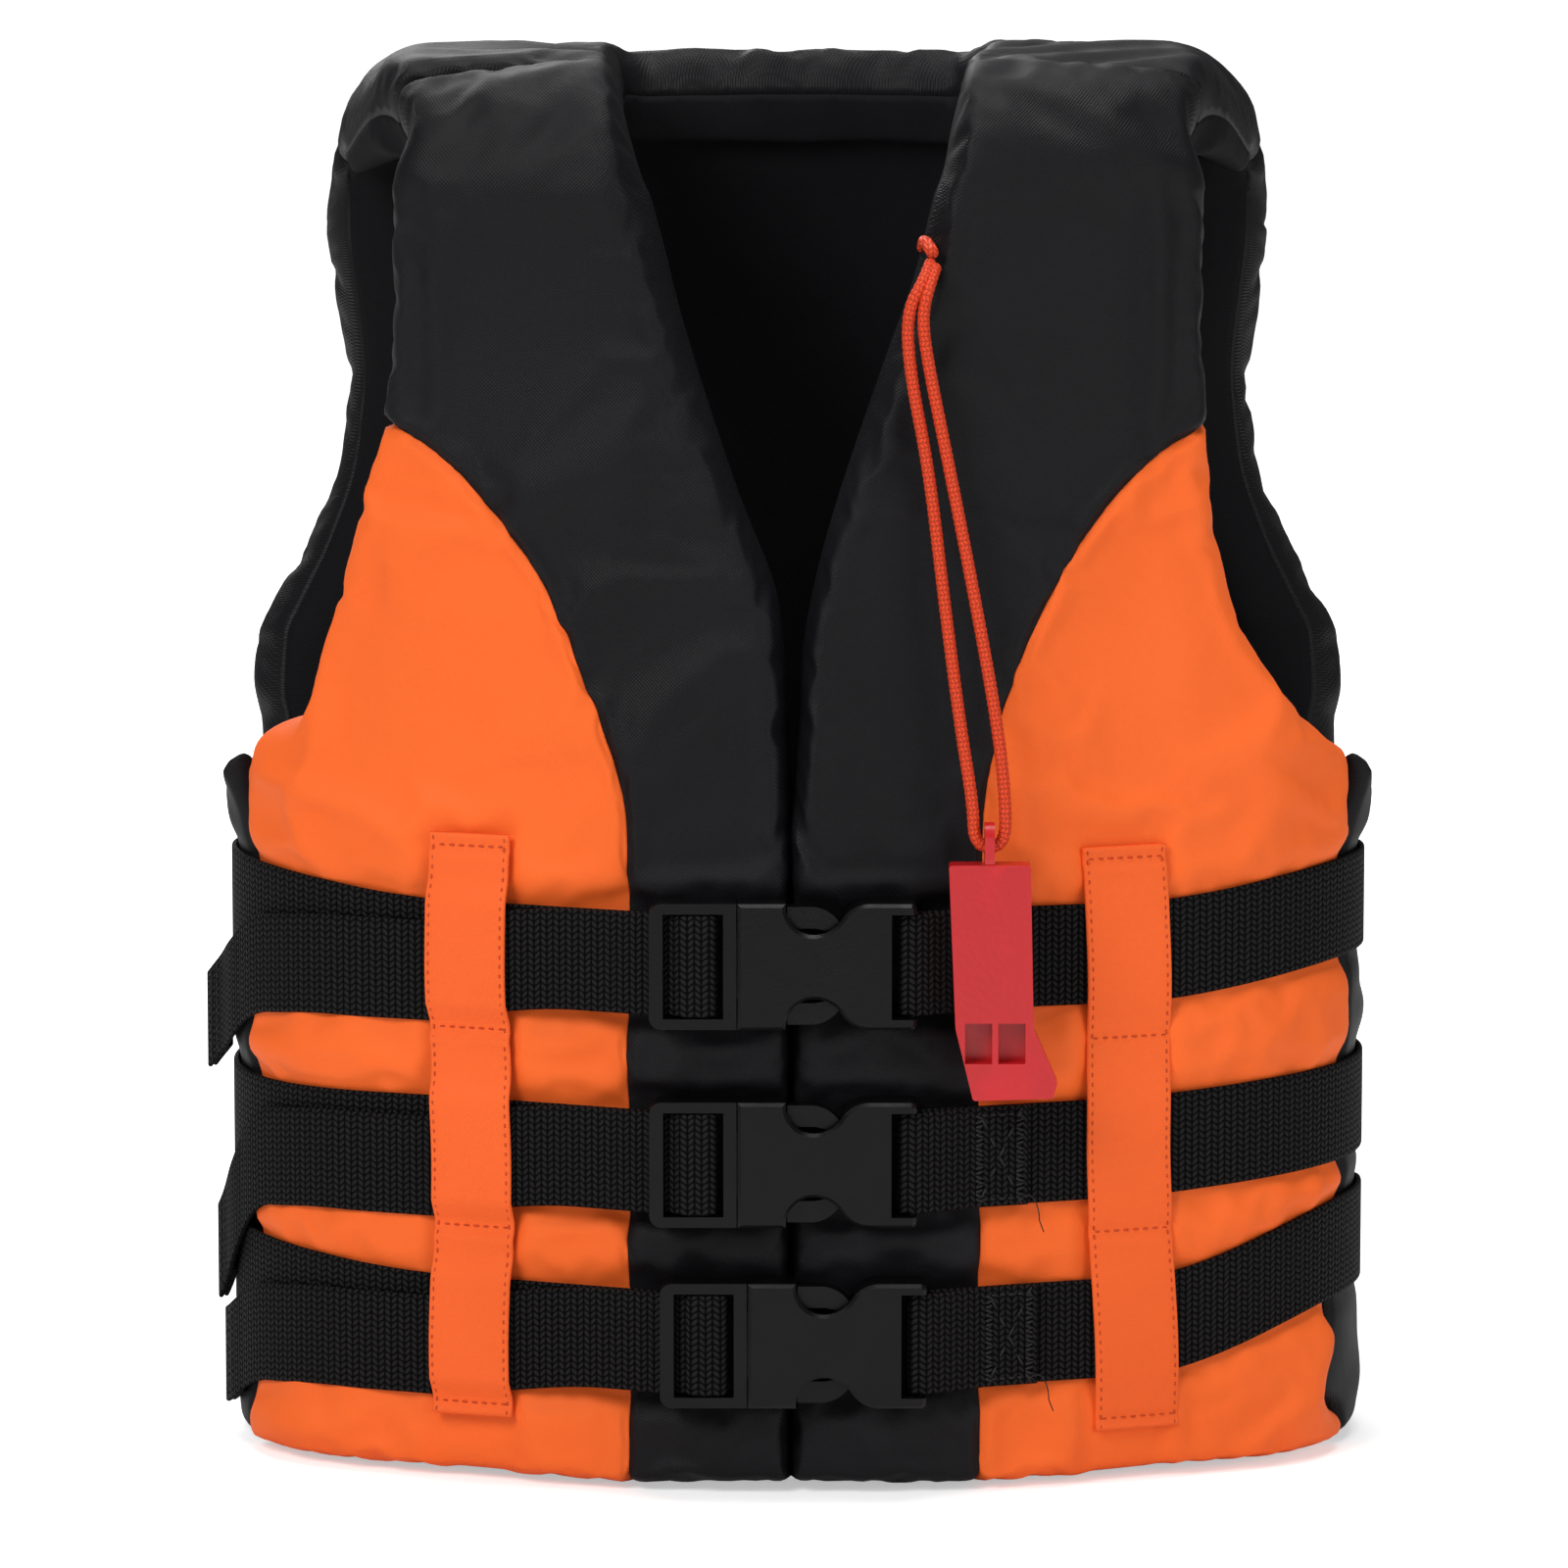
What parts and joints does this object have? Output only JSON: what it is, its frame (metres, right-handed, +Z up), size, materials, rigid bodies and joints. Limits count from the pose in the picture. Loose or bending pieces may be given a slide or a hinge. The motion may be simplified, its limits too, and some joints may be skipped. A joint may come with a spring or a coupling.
{
  "type": "life jacket",
  "caption": "Child-size foam life jacket: panelled vest, webbing belts with side-release buckles, and a whistle on a cord.",
  "frame": {"origin": "in the plane of the hem, under the middle of the jacket's box", "axes": "+X the wearer's left, -Y the wearer's front, +Z up"},
  "size_m": [0.2843, 0.1748, 0.345],
  "materials": {
    "black_fabric": "satin polyester weave",
    "orange_fabric": "bright polyester weave",
    "lining": "dull woven lining",
    "foam": "closed-cell foam",
    "orange_tape": "folded polyester tape",
    "webbing": "ribbed polypropylene webbing",
    "buckle_plastic": "moulded acetal",
    "whistle_plastic": "moulded polystyrene",
    "cord": "braided polyester"
  },
  "bodies": {
    "vest": {"front_left_black_cover": "black_fabric", "front_left_orange_cover": "orange_fabric", "front_left_foam": "foam", "front_left_lining": "lining", "front_right_black_cover": "black_fabric", "front_right_orange_cover": "orange_fabric", "front_right_foam": "foam", "front_right_lining": "lining", "back_cover": "black_fabric", "back_foam": "foam", "back_lining": "lining", "shoulder_left_cover": "black_fabric", "shoulder_left_pad": "foam", "shoulder_left_lining": "lining", "side_left_gusset": "black_fabric", "left_loop_strip": "orange_tape", "shoulder_right_cover": "black_fabric", "shoulder_right_pad": "foam", "shoulder_right_lining": "lining", "side_right_gusset": "black_fabric", "right_loop_strip": "orange_tape", "belt_top": "webbing", "belt_top_adjuster": "webbing", "buckle_top_female": "buckle_plastic", "belt_middle": "webbing", "belt_middle_adjuster": "webbing", "buckle_middle_female": "buckle_plastic", "belt_bottom": "webbing", "belt_bottom_adjuster": "webbing", "buckle_bottom_female": "buckle_plastic"},
    "top_clip": {"buckle_top_male": "buckle_plastic"},
    "top_latch_upper": {"buckle_top_arm_upper": "buckle_plastic"},
    "top_latch_lower": {"buckle_top_arm_lower": "buckle_plastic"},
    "top_tail": {"belt_top_tail": "webbing"},
    "middle_clip": {"buckle_middle_male": "buckle_plastic"},
    "middle_latch_upper": {"buckle_middle_arm_upper": "buckle_plastic"},
    "middle_latch_lower": {"buckle_middle_arm_lower": "buckle_plastic"},
    "middle_tail": {"belt_middle_tail": "webbing"},
    "bottom_clip": {"buckle_bottom_male": "buckle_plastic"},
    "bottom_latch_upper": {"buckle_bottom_arm_upper": "buckle_plastic"},
    "bottom_latch_lower": {"buckle_bottom_arm_lower": "buckle_plastic"},
    "bottom_tail": {"belt_bottom_tail": "webbing"},
    "lanyard": {"whistle_cord": "cord"},
    "whistle": {"whistle": "whistle_plastic"}
  },
  "joints": [
    {"name": "top_clip_slide", "type": "slide", "parent": "vest", "child": "top_clip", "axis": [-1, 0, 0], "range_m": [0, 0.03], "deforming": ["belt_top_adjuster", "buckle_top_arm_upper", "buckle_top_arm_lower"]},
    {"name": "top_latch_upper_squeeze", "type": "hinge", "parent": "top_clip", "child": "top_latch_upper", "pos_m": [-0.0147, -0.0815, 0.1436], "axis": [0, 1, 0], "range_deg": [0, 11], "stiffness_Nm_per_rad": 0.02},
    {"name": "top_latch_lower_squeeze", "type": "hinge", "parent": "top_clip", "child": "top_latch_lower", "pos_m": [-0.0147, -0.0815, 0.1224], "axis": [0, 1, 0], "range_deg": [-11, 0], "stiffness_Nm_per_rad": 0.02},
    {"name": "top_tail_swing", "type": "hinge", "parent": "vest", "child": "top_tail", "pos_m": [-0.09257, -0.05955, 0.133], "axis": [0, 0, 1], "range_deg": [0, 70]},
    {"name": "middle_clip_slide", "type": "slide", "parent": "vest", "child": "middle_clip", "axis": [-1, 0, 0], "range_m": [0, 0.03], "deforming": ["belt_middle_adjuster", "buckle_middle_arm_upper", "buckle_middle_arm_lower"]},
    {"name": "middle_latch_upper_squeeze", "type": "hinge", "parent": "middle_clip", "child": "middle_latch_upper", "pos_m": [-0.0147, -0.0815, 0.0946], "axis": [0, 1, 0], "range_deg": [0, 11], "stiffness_Nm_per_rad": 0.02},
    {"name": "middle_latch_lower_squeeze", "type": "hinge", "parent": "middle_clip", "child": "middle_latch_lower", "pos_m": [-0.0147, -0.0815, 0.0734], "axis": [0, 1, 0], "range_deg": [-11, 0], "stiffness_Nm_per_rad": 0.02},
    {"name": "middle_tail_swing", "type": "hinge", "parent": "vest", "child": "middle_tail", "pos_m": [-0.09257, -0.05955, 0.084], "axis": [0, 0, 1], "range_deg": [0, 70]},
    {"name": "bottom_clip_slide", "type": "slide", "parent": "vest", "child": "bottom_clip", "axis": [-1, 0, 0], "range_m": [0, 0.03], "deforming": ["belt_bottom_adjuster", "buckle_bottom_arm_upper", "buckle_bottom_arm_lower"]},
    {"name": "bottom_latch_upper_squeeze", "type": "hinge", "parent": "bottom_clip", "child": "bottom_latch_upper", "pos_m": [-0.0122, -0.0815, 0.0496], "axis": [0, 1, 0], "range_deg": [0, 11], "stiffness_Nm_per_rad": 0.02},
    {"name": "bottom_latch_lower_squeeze", "type": "hinge", "parent": "bottom_clip", "child": "bottom_latch_lower", "pos_m": [-0.0122, -0.0815, 0.0284], "axis": [0, 1, 0], "range_deg": [-11, 0], "stiffness_Nm_per_rad": 0.02},
    {"name": "bottom_tail_swing", "type": "hinge", "parent": "vest", "child": "bottom_tail", "pos_m": [-0.09257, -0.05955, 0.039], "axis": [0, 0, 1], "range_deg": [0, 70]},
    {"name": "lanyard_swing", "type": "hinge", "parent": "vest", "child": "lanyard", "pos_m": [0.0345, -0.0746, 0.3029], "axis": [-1, 0, 0], "range_deg": [0, 60]},
    {"name": "whistle_tip", "type": "hinge", "parent": "lanyard", "child": "whistle", "pos_m": [0.0463, -0.0845, 0.1623], "axis": [-1, 0, 0], "range_deg": [0, 90]}
  ],
  "couplings": [
    {"joint": "top_latch_lower_squeeze", "follows": "top_latch_upper_squeeze", "ratio": -1},
    {"joint": "middle_latch_lower_squeeze", "follows": "middle_latch_upper_squeeze", "ratio": -1},
    {"joint": "bottom_latch_lower_squeeze", "follows": "bottom_latch_upper_squeeze", "ratio": -1}
  ]
}
